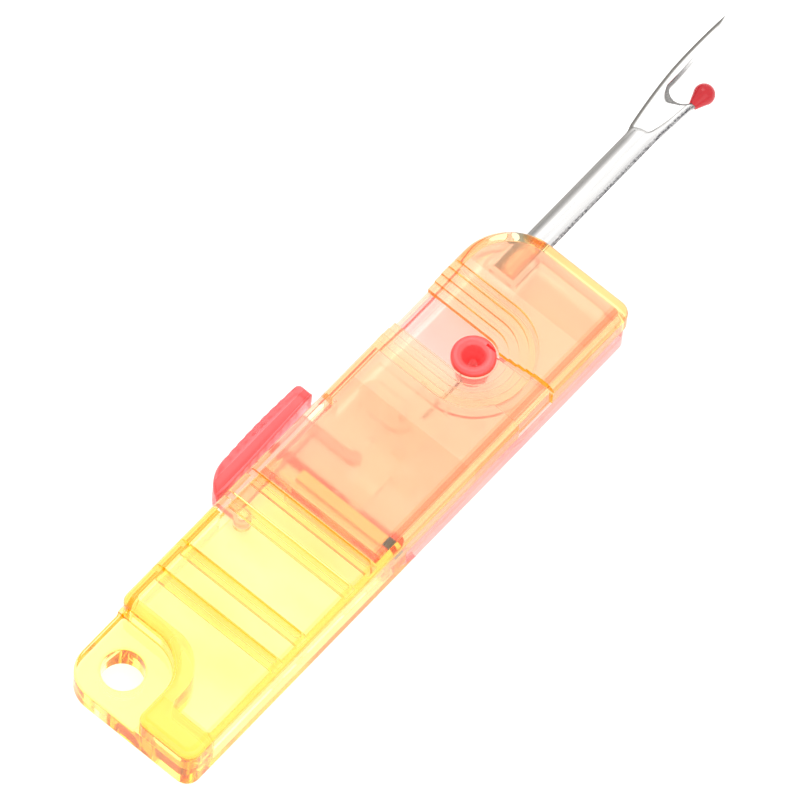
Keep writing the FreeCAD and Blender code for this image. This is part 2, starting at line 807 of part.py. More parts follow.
def crotch_edge(edge):
    """True for the two curved edges of the cutting crotch between the prongs."""
    box = edge.BoundBox
    inside = box.XMin > -2.2 and box.XMax < 1.3 and 108.7 < box.YMin and box.YMax < 110.5
    return inside and box.ZLength < 1e-4 and box.XLength > 2.0


def place(item, x, y, z):
    """Bind a primitive's position."""
    for axis, size in (("x", x), ("y", y), ("z", z)):
        item.setExpression(f"Placement.Base.{axis}", as_size(size).text)


def make_safety_ball():
    """Ball moulded on the short prong, drawn out to a teardrop where it meets the prong."""
    x = (PRONG_LEFT + PRONG_RIGHT) * 0.5
    z = d["blade_low"] + d["blade_sheet"] * 0.5
    sphere = document.addObject("Part::Sphere", "ball_sphere")
    sphere.setExpression("Radius", d["ball_radius"].text)
    place(sphere, x, d["ball_y"], z)
    neck = document.addObject("Part::Cone", "ball_neck")
    neck.Radius1 = BALL_NECK_RADIUS
    neck.setExpression("Radius2", (d["ball_radius"] * cos(BALL_TANGENT)).text)
    neck.setExpression("Height", (d["ball_y"] - d["ball_radius"] * sin(BALL_TANGENT) - PRONG_FOOT).text)
    neck.Placement.Rotation = FreeCAD.Rotation(FreeCAD.Vector(1, 0, 0), -90)
    place(neck, x, PRONG_FOOT, z)
    drop = document.addObject("Part::Fuse", "ball_drop")
    drop.Base = sphere
    drop.Tool = neck
    prong = document.addObject("Part::Box", "ball_socket")
    prong.setExpression("Length", (PRONG_RIGHT - PRONG_LEFT).text)
    prong.setExpression("Width", (PRONG_TOP - PRONG_FOOT).text)
    prong.setExpression("Height", d["blade_sheet"].text)
    place(prong, PRONG_LEFT, PRONG_FOOT, d["blade_low"])
    ball = document.addObject("Part::Cut", "safety_ball")
    ball.Base = drop
    ball.Tool = prong
    ball.Label = "safety_ball"
    document.recompute()
    return ball


def make_slide_keeper():
    """Bar across the threader slide that keeps it on its floor, staked on the tray's two posts."""
    body = new_body("slide_keeper")
    outline = oblong(d["keeper_x"], d["keeper_y"], d["keeper_length"], d["keeper_width"])
    grow(body, "bar", outline, d["keeper_low"], d["keeper_high"])
    for post, x in enumerate(KEEPER_POSTS, start=1):
        hole = disc(x, d["keeper_y"], KEEPER_POST_RADIUS + d["seam_gap"])
        cut(body, f"post_hole_{post}", hole, d["keeper_low"] - clear, d["keeper_high"] + clear)
    return body


# ---- needle threader ------------------------------------------------------------------

def make_needle_funnel():
    """Ring on the recess floor and its barrel, which guides the needle's eye to the hook."""
    body = new_body("needle_funnel")
    base = floor + gap
    seat = d["recess_floor"]
    top = seat + d["ring_height"]
    ring = d["ring_radius"]
    section = chain(
        (d["needle_radius"], base),
        (d["barrel_radius"], base),
        (d["barrel_radius"], seat),
        (ring, seat),
        (ring, seat + 0.35, ring - 0.2, seat + 0.76),
        (ring - 0.68, top, 1.85, top - 0.08),
        (d["mouth_radius"], top - 0.34),
        (1.3, 5.4),
        (d["needle_radius"], 4.3),
    )
    revolve(body, "section", section, "XZ_Plane", -d["funnel_y"], d["funnel_x"])
    passage = disc(d["funnel_x"], d["hook_level"], d["hook_radius"] + gap)
    cut(body, "hook_passage", passage, -66, -60, plane="XZ_Plane")
    notch = rectangle(d["funnel_x"] + 0.3, d["funnel_x"] + 4, slit_y - slit_half, slit_y + slit_half)
    cut(body, "thread_notch", notch, seat + 0.2, z_front)
    return body


def circle_centre(a, b, c):
    """Centre of the circle through three points."""
    ax, ay = a
    bx, by = b[0] - ax, b[1] - ay
    cx, cy = c[0] - ax, c[1] - ay
    twice = 2 * (bx * cy - by * cx)
    ux = (cy * (bx * bx + by * by) - by * (cx * cx + cy * cy)) / twice
    uy = (bx * (cx * cx + cy * cy) - cx * (bx * bx + by * by)) / twice
    return ax + ux, ay + uy


# The pad is a bar beside the handle. Its outer side is nearly straight and scalloped, its upper
# end blunt, and its lower end curves in to the handle.
PAD_TAIL = (-6.3, 25.3)
PAD_TAIL_MIDDLE = (-8.45, 27.2)
PAD_SIDE_LOW = (-9.4, 30.2)
PAD_SIDE_MIDDLE = (-9.62, 37.1)
PAD_SIDE_HIGH = (-9.4, 44.1)
PAD_CORNER = (-9.2, 44.65)
PAD_END = (-8.75, 44.9)
PAD_INNER = -7.0
PAD_ROUND = 0.45
SCALLOPS = 8
SCALLOP_RADIUS = 1.3
SCALLOP_DEPTH = 0.16
FIRST_SCALLOP = 42.2
SCALLOP_PITCH = 1.6
NECK_INNER = -4.0
ARM_TOP = 43.2
ARM_WIDTH = 1.2


def make_thumb_lever():
    """Lever with a scalloped pad outside the handle and a thin plate inside it."""
    body = new_body("thumb_lever")
    outline = chain(
        (*PAD_TAIL, *PAD_TAIL_MIDDLE),
        (*PAD_SIDE_LOW, *PAD_SIDE_MIDDLE),
        (*PAD_SIDE_HIGH, *PAD_CORNER),
        PAD_END,
        (PAD_INNER, PAD_END[1]),
    )
    pad = grow(body, "pad", outline, d["lever_low"], d["lever_top"])
    soften(body, "pad_round", pad, pad_rim, PAD_ROUND)
    centre = circle_centre(PAD_SIDE_LOW, PAD_SIDE_MIDDLE, PAD_SIDE_HIGH)
    radius = hypot(PAD_SIDE_LOW[0] - centre[0], PAD_SIDE_LOW[1] - centre[1])
    reach = radius + SCALLOP_RADIUS - SCALLOP_DEPTH
    for i in range(SCALLOPS):
        angle = asin((FIRST_SCALLOP - SCALLOP_PITCH * i - centre[1]) / reach)
        x = centre[0] - reach * cos(angle)
        scallop = disc(x, centre[1] + reach * sin(angle), SCALLOP_RADIUS)
        cut(body, f"scallop_{i + 1}", scallop, d["lever_low"] - clear, d["lever_top"] + clear)
    neck = rectangle(PAD_INNER - 0.1, NECK_INNER, PAD_TAIL[1] + 0.8, ARM_TOP - 0.2)
    grow(body, "neck", neck, d["lever_low"], d["hub_top"])
    hub = disc(d["pivot_x"], d["pivot_y"], d["hub_radius"])
    grow(body, "hub", hub, d["lever_low"], d["hub_top"])
    arm_low = d["slide_low"] + gap
    arm_high = d["slide_top"] - gap
    arm = rectangle(NECK_INNER - 0.2, d["nose_x"], ARM_TOP + 0.1 - ARM_WIDTH, ARM_TOP + 0.1)
    grow(body, "arm", arm, arm_low, arm_high)
    grow(body, "nose", disc(d["nose_x"], d["nose_y"], d["nose_radius"]), arm_low, arm_high)
    bore = disc(d["pivot_x"], d["pivot_y"], d["pivot_radius"] + gap)
    cut(body, "pivot_bore", bore, d["lever_low"] - clear, z_front)
    return body


def pad_rim(edge):
    """True for an edge round the outer side of the pad's front or back face."""
    box = edge.BoundBox
    return box.ZLength < 1e-4 and box.XMin < x_left.number


PIN_HEAD_HEIGHT = 0.5
PIN_HEAD_LIP = 0.2


def make_pivot_pin():
    """Headed pin of the thumb lever, pressed into the boss on the handle's back."""
    low = as_size(PIVOT_SOCKET_LOW + 0.05)
    shoulder = d["hub_top"] + gap
    shaft = document.addObject("Part::Cylinder", "pin_shaft")
    shaft.setExpression("Radius", d["pivot_radius"].text)
    shaft.setExpression("Height", (shoulder + 0.2 - low).text)
    place(shaft, d["pivot_x"], d["pivot_y"], low)
    head = document.addObject("Part::Cylinder", "pin_head")
    head.setExpression("Radius", (d["pivot_radius"] + PIN_HEAD_LIP).text)
    head.Height = PIN_HEAD_HEIGHT
    place(head, d["pivot_x"], d["pivot_y"], shoulder)
    pin = document.addObject("Part::Fuse", "lever_pivot_pin")
    pin.Base = shaft
    pin.Tool = head
    pin.Label = "lever_pivot_pin"
    document.recompute()
    return pin


HOOK_GRIP = 3.0  # how deep the hook's shaft sits in the slide
RAMP_SLOPE = 2.0  # how far the slide's sloping tail runs along Y for each millimetre across X
RAMP_ACROSS = RAMP_SLOPE / hypot(1.0, RAMP_SLOPE)
RAMP_ALONG = 1.0 / hypot(1.0, RAMP_SLOPE)


def make_threader_slide():
    """Carrier that runs towards the funnel when the lever's nose presses its sloping tail."""
    body = new_body("threader_slide")
    reach = d["nose_radius"] + d["nose_gap"]
    touch_x = d["nose_x"] + reach * RAMP_ACROSS
    touch_y = d["nose_y"] + reach * RAMP_ALONG
    ramp_top = touch_y + (touch_x - d["slide_left"]) * RAMP_SLOPE
    ramp_end = touch_x + (touch_y - d["slide_tail"]) * (1.0 / RAMP_SLOPE)
    outline = polygon(
        (d["slide_left"], d["slide_front"]),
        (d["slide_left"], ramp_top),
        (ramp_end, d["slide_tail"]),
        (d["slide_right"], d["slide_tail"]),
        (d["slide_right"], d["slide_front"]),
    )
    grow(body, "plate", outline, d["slide_low"], d["slide_top"])
    ear_tip = d["spring_x"] + d["spring_half"]
    ear = rectangle(d["slide_right"] - 0.1, ear_tip, d["ear_front"] - 1.5, d["ear_front"])
    grow(body, "ear", ear, d["slide_low"], d["spring_top"])
    bore = disc(d["funnel_x"], d["hook_level"], d["hook_radius"])
    front = d["slide_front"]
    cut(body, "hook_bore", bore, -(front + clear), -(front - HOOK_GRIP), plane="XZ_Plane")
    return body


def make_threader_hook():
    """Fine steel needle with a barb that draws the thread back through the needle's eye."""
    body = new_body("threader_hook")
    tip = d["hook_tip"]
    shaft = disc(d["funnel_x"], d["hook_level"], d["hook_radius"])
    shank = grow(body, "shaft", shaft, -tip, -(d["slide_front"] - HOOK_GRIP), plane="XZ_Plane")
    end = edges_where(shank, lambda edge: edge.BoundBox.YMin > tip.number - 0.01)
    point_cut = body.newObject("PartDesign::Chamfer", "point")
    point_cut.Base = (shank, end)
    point_cut.Size = 0.18
    settle(body, "point", point_cut, -1)
    barb = rectangle(d["funnel_x"] + 0.02, d["funnel_x"] + 1, tip - 0.75, tip - 0.45)
    cut(body, "barb", barb, d["hook_level"] - clear, d["hook_level"] + clear)
    return body


SPRING_BARS = 7


def make_return_spring():
    """Moulded zigzag leaf between the slide's ear and the back cover's stop rib."""
    body = new_body("return_spring")
    half_leaf = d["leaf"] * 0.5
    end_play = 0.02
    first = d["ear_front"] + half_leaf + end_play
    last = d["stop_rib"] - half_leaf - end_play
    pitch = (last - first) * (1.0 / (SPRING_BARS - 1))
    low = d["spring_low"]
    high = d["spring_top"]
    left = d["spring_x"] - d["spring_half"]
    right = d["spring_x"] + d["spring_half"]
    for bar in range(SPRING_BARS):
        y = first + pitch * bar
        bar_outline = rectangle(left, right, y - half_leaf, y + half_leaf)
        if bar == 0:
            grow(body, "bar_1", bar_outline, low, high)
            continue
        side = 1 if bar % 2 else -1
        x = right if side > 0 else left
        bend = half_ring(x, y - pitch * 0.5, pitch * 0.5, half_leaf, side)
        grow(body, f"bend_{bar}", bend, low, high)
        grow(body, f"bar_{bar + 1}", bar_outline, low, high)
    return body


def half_ring(x, y, radius, half_leaf, side):
    """A half-round bend that bulges to the given side, with ends at X = x."""
    outer = radius + half_leaf
    inner = radius - half_leaf
    return chain(
        (x, y - outer, x + outer * side, y),
        (x, y + outer),
        (x, y + inner, x + inner * side, y),
        (x, y - inner),
    )


def check_document():
    """Stop if any object of the document failed."""
    for item in document.Objects:
        if "Invalid" in item.State or "Error" in item.State:
            raise RuntimeError(f"{item.Label} is {item.State}")


def main():
    pieces = [
        make_front_shell(),
        make_handle_back(),
        make_mechanism_tray(),
        make_back_cover(),
        make_blade(),
        make_safety_ball(),
        make_slide_keeper(),
        make_needle_funnel(),
        make_thumb_lever(),
        make_pivot_pin(),
        make_threader_slide(),
        make_threader_hook(),
        make_return_spring(),
    ]
    document.recompute()
    check_document()
    os.makedirs("parts", exist_ok=True)
    for piece in pieces:
        shape = piece.Shape
        if shape.isNull() or not shape.isValid() or len(shape.Solids) != 1:
            raise RuntimeError(f"{piece.Label} isn't one sound solid: {len(shape.Solids)}")
        shape.exportStep(f"parts/{piece.Label}.step")
        box = shape.BoundBox
        print(f"{piece.Label:16s} {shape.Volume:9.2f} mm3  X {box.XMin:.2f}..{box.XMax:.2f}"
              f"  Y {box.YMin:.2f}..{box.YMax:.2f}  Z {box.ZMin:.2f}..{box.ZMax:.2f}")


main()
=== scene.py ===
from math import exp, sqrt

import bmesh
import bpy
from mathutils import Matrix, Vector


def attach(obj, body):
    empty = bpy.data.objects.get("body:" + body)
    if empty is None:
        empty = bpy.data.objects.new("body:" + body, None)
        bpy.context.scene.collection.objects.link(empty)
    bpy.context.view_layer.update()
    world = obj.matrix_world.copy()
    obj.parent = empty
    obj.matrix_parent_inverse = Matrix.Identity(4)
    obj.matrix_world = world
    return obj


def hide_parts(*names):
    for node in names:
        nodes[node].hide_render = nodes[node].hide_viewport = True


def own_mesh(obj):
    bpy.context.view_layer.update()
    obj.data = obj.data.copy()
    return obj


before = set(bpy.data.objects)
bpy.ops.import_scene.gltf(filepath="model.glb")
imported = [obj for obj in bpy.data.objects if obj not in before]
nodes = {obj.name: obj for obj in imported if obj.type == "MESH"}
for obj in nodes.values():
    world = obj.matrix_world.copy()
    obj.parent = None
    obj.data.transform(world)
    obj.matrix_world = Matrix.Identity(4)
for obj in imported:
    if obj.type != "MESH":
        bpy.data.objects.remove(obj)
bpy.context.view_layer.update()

# A seam ripper with a push-lever needle threader in a clear two-colour handle.
# Metres. +X is the handle's right edge, +Y points to the blade and +Z out of the front face.

MM = 0.001


# ---- camera, lights and floor ---------------------------------------------------------

AIM = Vector((2.5, 51.0, 8.6)) * MM
TO_CAMERA = Vector((0.262, -0.366, 0.893)).normalized()
CAMERA_UP = Vector((-0.598, 0.6647, 0.4478))
CAMERA_DISTANCE = 2.5
FOCAL_LENGTH = 877.5
FLOOR_SIZE = 3.0
FLOOR_GAP = 0.0001  # below the handle's flat back
FLOOR_GREY = 0.72
WORLD_STRENGTH = 1.2
HORIZON = 0.85  # how bright it is there, where the sky is 1
HORIZON_RISE = (0.02, 0.6)
PANEL_DARKNESS = 0.75
PANEL_SIDE = (-0.9, -0.6)
PANEL_TOP = (0.1, 0.5)
FLOOR_GLOW = 0.55
BOUNCES = 40  # a ray crosses many walls of clear plastic


def grey(value):
    """A grey as the four numbers that a colour input takes."""
    return value, value, value, 1


def make_camera():
    data = bpy.data.cameras.new("camera")
    data.sensor_width = 36.0
    data.lens = FOCAL_LENGTH
    data.clip_start = 0.01
    camera = bpy.data.objects.new("camera", data)
    bpy.context.scene.collection.objects.link(camera)
    right = CAMERA_UP.cross(TO_CAMERA).normalized()
    up = TO_CAMERA.cross(right)
    place = AIM + TO_CAMERA * CAMERA_DISTANCE
    turn = Matrix((right, up, TO_CAMERA)).transposed().to_4x4()
    camera.matrix_world = Matrix.Translation(place) @ turn
    bpy.context.scene.camera = camera


def make_lamp(name, place, size, power):
    """A round white area lamp that faces the object."""
    data = bpy.data.lights.new(name, "AREA")
    data.shape = "DISK"
    data.size = size
    data.energy = power
    lamp = bpy.data.objects.new(name, data)
    bpy.context.scene.collection.objects.link(lamp)
    lamp.location = place
    lamp.rotation_euler = (AIM - Vector(place)).to_track_quat("-Z", "Y").to_euler()


def make_world():
    """A pale studio tent, white overhead, with a grey panel low on the left. Light that has
    passed through plastic doesn't see the panel, so it shades the steel and leaves the clear
    plastic clean."""
    world = bpy.data.worlds.new("studio")
    bpy.context.scene.world = world
    world.use_nodes = True
    tree = world.node_tree
    back = tree.nodes["Background"]
    where = tree.nodes.new("ShaderNodeTexCoord")
    split = tree.nodes.new("ShaderNodeSeparateXYZ")
    tree.links.new(where.outputs["Generated"], split.inputs[0])
    height = ramp(tree, split.outputs["Z"], *HORIZON_RISE, HORIZON, 1.0)
    side = ramp(tree, split.outputs["X"], *PANEL_SIDE, 1.0, 0.0)
    low = ramp(tree, split.outputs["Z"], *PANEL_TOP, 1.0, 0.0)
    panel = multiply(tree, multiply(tree, side, low), PANEL_DARKNESS)
    ray = tree.nodes.new("ShaderNodeLightPath")
    panel = multiply(tree, panel, rest_of(tree, ray.outputs["Is Transmission Ray"]))
    tree.links.new(multiply(tree, height, rest_of(tree, panel)), back.inputs["Color"])
    back.inputs["Strength"].default_value = WORLD_STRENGTH


def ramp(tree, source, from_low, from_high, low, high):
    """A value mapped smoothly from one range to another."""
    node = tree.nodes.new("ShaderNodeMapRange")
    node.interpolation_type = "SMOOTHSTEP"
    node.inputs["From Min"].default_value = from_low
    node.inputs["From Max"].default_value = from_high
    node.inputs["To Min"].default_value = low
    node.inputs["To Max"].default_value = high
    tree.links.new(source, node.inputs["Value"])
    return node.outputs[0]


def rest_of(tree, source):
    """One less a value."""
    node = tree.nodes.new("ShaderNodeMath")
    node.operation = "SUBTRACT"
    node.inputs[0].default_value = 1.0
    tree.links.new(source, node.inputs[1])
    return node.outputs[0]


def multiply(tree, first, second):
    """The product of a value and another value or number."""
    node = tree.nodes.new("ShaderNodeMath")
    node.operation = "MULTIPLY"
    tree.links.new(first, node.inputs[0])
    if isinstance(second, float):
        node.inputs[1].default_value = second
    else:
        tree.links.new(second, node.inputs[1])
    return node.outputs[0]


def make_floor():
    mesh = bpy.data.meshes.new("floor")
    half = FLOOR_SIZE / 2
    low = -FLOOR_GAP
    corners = [(-half, -half, low), (half, -half, low), (half, half, low), (-half, half, low)]
    mesh.from_pydata(corners, [], [(0, 1, 2, 3)])
    floor = bpy.data.objects.new("floor", mesh)
    bpy.context.scene.collection.objects.link(floor)
    material = bpy.data.materials.new("floor_white")
    material.use_nodes = True
    shader = material.node_tree.nodes["Principled BSDF"]
    shader.inputs["Base Color"].default_value = grey(FLOOR_GREY)
    shader.inputs["Roughness"].default_value = 0.9
    shader.inputs["Emission Color"].default_value = (1, 1, 1, 1)
    shader.inputs["Emission Strength"].default_value = FLOOR_GLOW
    shader.inputs["Specular IOR Level"].default_value = 0.0
    mesh.materials.append(material)


# ---- materials ------------------------------------------------------------------------

class Nodes:
    """Short calls for building one material's node tree."""

    def __init__(self, name):
        self.material = bpy.data.materials.new(name)
        self.material.use_nodes = True
        self.tree = self.material.node_tree
        self.shader = self.tree.nodes["Principled BSDF"]
        self.output = self.tree.nodes["Material Output"]

    def add(self, kind, **settings):
        node = self.tree.nodes.new("ShaderNode" + kind)
        for key, value in settings.items():
            setattr(node, key, value)
        return node

    def join(self, source, target):
        self.tree.links.new(source, target)

    def noise(self, scale, detail=3.0, stretch=(1, 1, 1)):
        """Noise over the object's own places, in cycles per metre."""
        where = self.add("TexCoord")
        mapping = self.add("Mapping")
        mapping.inputs["Scale"].default_value = stretch
        texture = self.add("TexNoise")
        texture.inputs["Scale"].default_value = scale
        texture.inputs["Detail"].default_value = detail
        texture.inputs["Roughness"].default_value = 0.5
        self.join(where.outputs["Object"], mapping.inputs["Vector"])
        self.join(mapping.outputs[0], texture.inputs["Vector"])
        return texture.outputs["Fac"]

    def span(self, source, low, high, from_low=0.3, from_high=0.7):
        """Map a value to a range."""
        node = self.add("MapRange")
        node.inputs["From Min"].default_value = from_low
        node.inputs["From Max"].default_value = from_high
        node.inputs["To Min"].default_value = low
        node.inputs["To Max"].default_value = high
        self.join(source, node.inputs["Value"])
        return node.outputs[0]

    def blend(self, source, first, second):
        """A colour between two, by a value."""
        node = self.add("Mix", data_type="RGBA")
        node.inputs[6].default_value = (*first, 1)
        node.inputs[7].default_value = (*second, 1)
        self.join(source, node.inputs[0])
        return node.outputs[2]

    def compare(self, source, limit, operation):
        """A math node between a value and a number."""
        node = self.add("Math", operation=operation)
        node.inputs[1].default_value = limit
        self.join(source, node.inputs[0])
        return node.outputs[0]

    def above(self, source, limit):
        return self.compare(source, limit, "GREATER_THAN")

    def below(self, source, limit):
        return self.compare(source, limit, "LESS_THAN")

    def either(self, source, off, on):
        """The value off where source is 0 and the number on where it is 1."""
        node = self.add("Mix", data_type="FLOAT")
        self.join(source, node.inputs[0])
        self.join(off, node.inputs[2])
        node.inputs[3].default_value = on
        return node.outputs[0]

    def part(self, source, axis):
        """One axis of a vector."""
        node = self.add("SeparateXYZ")
        self.join(source, node.inputs[0])
        return node.outputs[axis]

    def within(self, source, limits):
        """1 where a place in metres lies between two limits in mm."""
        low, high = self.above(source, limits[0] * MM), self.below(source, limits[1] * MM)
        return multiply(self.tree, low, high)

    def inside(self, place, box):
        """1 inside a box that is given as {axis: (low, high)} in mm."""
        found = None
        for axis, limits in box.items():
            slab = self.within(self.part(place, axis), limits)
            found = slab if found is None else multiply(self.tree, found, slab)
        return found

    def mixed(self, source, first, second):
        """The second colour where source is 1, otherwise the first."""
        node = self.add("Mix", data_type="RGBA")
        self.join(source, node.inputs[0])
        self.join(first, node.inputs[6])
        self.join(second, node.inputs[7])
        return node.outputs[2]

    def levelness(self):
        """1 for a face that looks straight up or down, 0 for an upright one."""
        normal = self.add("NewGeometry").outputs["Normal"]
        return self.compare(self.part(normal, "Z"), 0.0, "ABSOLUTE")

    def tint(self, source, colour, toward):
        """The colour, drawn toward another where source is 1."""
        node = self.add("Mix", data_type="RGBA")
        self.join(source, node.inputs[0])
        self.join(colour, node.inputs[6])
        node.inputs[7].default_value = (*toward, 1)
        return node.outputs[2]

    def bump(self, source, strength, distance):
        node = self.add("Bump")
        node.inputs["Strength"].default_value = strength
        node.inputs["Distance"].default_value = distance
        self.join(source, node.inputs["Height"])
        self.join(node.outputs[0], self.shader.inputs["Normal"])


OUTER_IOR = 1.46
INNER_IOR = 1.3  # lower than real plastic, so that inner walls stay as faint as in the photo
# A face counts as level above the first levelness and as upright below the second.
FLAT = 0.9
STEEP = 0.6
SHADOW_CLEARNESS = 0.97
CLOUD_SCALE = 95.0
FINISH_SCALE = 160.0
RIPPLE_SCALE = 420.0
RIPPLE = (0.05, 0.0004)  # strength, and depth in metres


def clear_plastic(name, absorbed, frosted=(), tints=(), rough=(0.015, 0.06), ior=OUTER_IOR):
    """Clear moulded plastic. absorbed is what one metre takes off red, green and blue. frosted
    gives (low, high, roughness) for the level faces between two heights in mm. tints gives
    (kind, box, pale, deep): the "level", "upright" or "any" faces in a box, by axis in mm, take
    a colour that drifts between the two."""
    n = Nodes(name)
    shader = n.shader
    place = n.add("TexCoord").outputs["Object"]
    facing = n.levelness()
    level, steep = n.above(facing, FLAT), n.below(facing, STEEP)
    cloud = n.noise(CLOUD_SCALE, detail=3.0, stretch=(0.5, 1, 1))
    drift = n.span(cloud, 0.0, 1.0, 0.35, 0.65)
    white = n.add("RGB")
    white.outputs[0].default_value = grey(1.0)
    colour = white.outputs[0]
    for kind, box, pale, deep in tints:
        where = n.inside(place, box)
        if kind != "any":
            where = multiply(n.tree, where, level if kind == "level" else steep)
        colour = n.mixed(where, colour, n.blend(drift, pale, deep))
    n.join(colour, shader.inputs["Base Color"])
    shader.inputs["Transmission Weight"].default_value = 1.0
    shader.inputs["IOR"].default_value = ior
    finish = n.span(n.noise(FINISH_SCALE, detail=2.0, stretch=(1, 0.35, 1)), *rough)
    for low, high, roughness in frosted:
        where = multiply(n.tree, n.inside(place, {"Z": (low, high)}), level)
        finish = n.either(where, finish, roughness)
    n.join(finish, shader.inputs["Roughness"])
    n.bump(n.noise(RIPPLE_SCALE, detail=2.0, stretch=(1, 0.5, 1)), *RIPPLE)
    ray = n.add("LightPath")
    open_way = n.add("BsdfTransparent")
    open_way.inputs["Color"].default_value = grey(SHADOW_CLEARNESS)
    mix = n.add("MixShader")
    n.join(ray.outputs["Is Shadow Ray"], mix.inputs["Fac"])
    n.join(shader.outputs[0], mix.inputs[1])
    n.join(open_way.outputs[0], mix.inputs[2])
    n.join(mix.outputs[0], n.output.inputs["Surface"])
    density = max(absorbed)
    body = n.add("VolumeAbsorption")
    body.inputs["Color"].default_value = (*(1 - a / density for a in absorbed), 1)
    body.inputs["Density"].default_value = density
    n.join(body.outputs[0], n.output.inputs["Volume"])
    return n.material


def red_plastic(name, deep, pale, gloss=(0.12, 0.24), painted_glow=0.0):
    """Dense moulded plastic with a high gloss and light scuffs. Its glow setting is painted light
    in its deep colour, which brightens its shaded hollows."""
    n = Nodes(name)
    shader = n.shader
    cloud = n.noise(130.0, detail=3.0)
    scuffs = n.noise(900.0, detail=4.0)
    grain = n.noise(1400.0, detail=3.0)
    n.join(n.blend(n.span(cloud, 0.0, 1.0), deep, pale), shader.inputs["Base Color"])
    n.join(n.span(scuffs, *gloss), shader.inputs["Roughness"])
    shader.inputs["Subsurface Weight"].default_value = 0.2
    shader.inputs["Subsurface Radius"].default_value = (0.002, 0.0006, 0.0005)
    shader.inputs["Subsurface Scale"].default_value = 0.6
    shader.inputs["Emission Color"].default_value = (*deep, 1)
    shader.inputs["Emission Strength"].default_value = painted_glow
    n.bump(grain, 0.06, 0.0002)
    return n.material


def steel(name, dark, light, low_rough, high_rough):
    """Drawn or stamped steel with fine marks that run along it."""
    n = Nodes(name)
    shader = n.shader
    shader.inputs["Metallic"].default_value = 1.0
    marks = n.noise(2600.0, detail=4.0, stretch=(1, 0.04, 1))
    n.join(n.blend(n.span(marks, 0.0, 1.0), dark, light), shader.inputs["Base Color"])
    n.join(n.span(marks, low_rough, high_rough), shader.inputs["Roughness"])
    n.bump(marks, 0.12, 0.0001)
    return n


# The colour of the painted shade on the blade's dull places.
SHADED_STEEL_COLOUR = (0.235, 0.222, 0.205)
DULL_ROUGHNESS = 0.55
# The torn right edge is rougher steel, and its near-black colour is painted shade.
TORN_EDGE_SHADE_COLOUR = (0.1, 0.1, 0.11)
TORN_ROUGHNESS = 0.6


def blade_steel():
    """Bright stamped steel. The mesh says where it is dull and where its edge is torn, and both
    marks also paint shade into its colour.
    """
    n = steel("polished_steel", (0.78, 0.77, 0.755), (0.9, 0.89, 0.88), 0.12, 0.24)
    colour = n.shader.inputs["Base Color"].links[0].from_socket
    dull_and_shade = n.add("Attribute", attribute_name="dull_and_shade").outputs["Fac"]
    # Painted shade: the dull places are darkened along the rolled edge, on the run-out line and in
    # the crescent.
    colour = n.tint(dull_and_shade, colour, SHADED_STEEL_COLOUR)
    grain = n.span(n.noise(5200.0, detail=5.0, stretch=(1, 0.6, 1)), 0.35, 1.0, 0.36, 0.58)
    # The torn edge's dark specks are painted shade over its rough grain.
    torn_and_shade = n.add("Attribute", attribute_name="torn_and_shade").outputs["Fac"]
    colour = n.tint(multiply(n.tree, grain, torn_and_shade), colour, TORN_EDGE_SHADE_COLOUR)
    n.join(colour, n.shader.inputs["Base Color"])
    finish = n.shader.inputs["Roughness"].links[0].from_socket
    finish = n.either(dull_and_shade, finish, DULL_ROUGHNESS)
    n.join(n.either(torn_and_shade, finish, TORN_ROUGHNESS), n.shader.inputs["Roughness"])
    return n.material


def dress(material, slot, *names):
    """Give CAD nodes a material. The slot that it stands for is passed in but not used."""
    for name in names:
        slots = nodes[name].data.materials
        for i in range(len(slots)):
            slots[i] = material


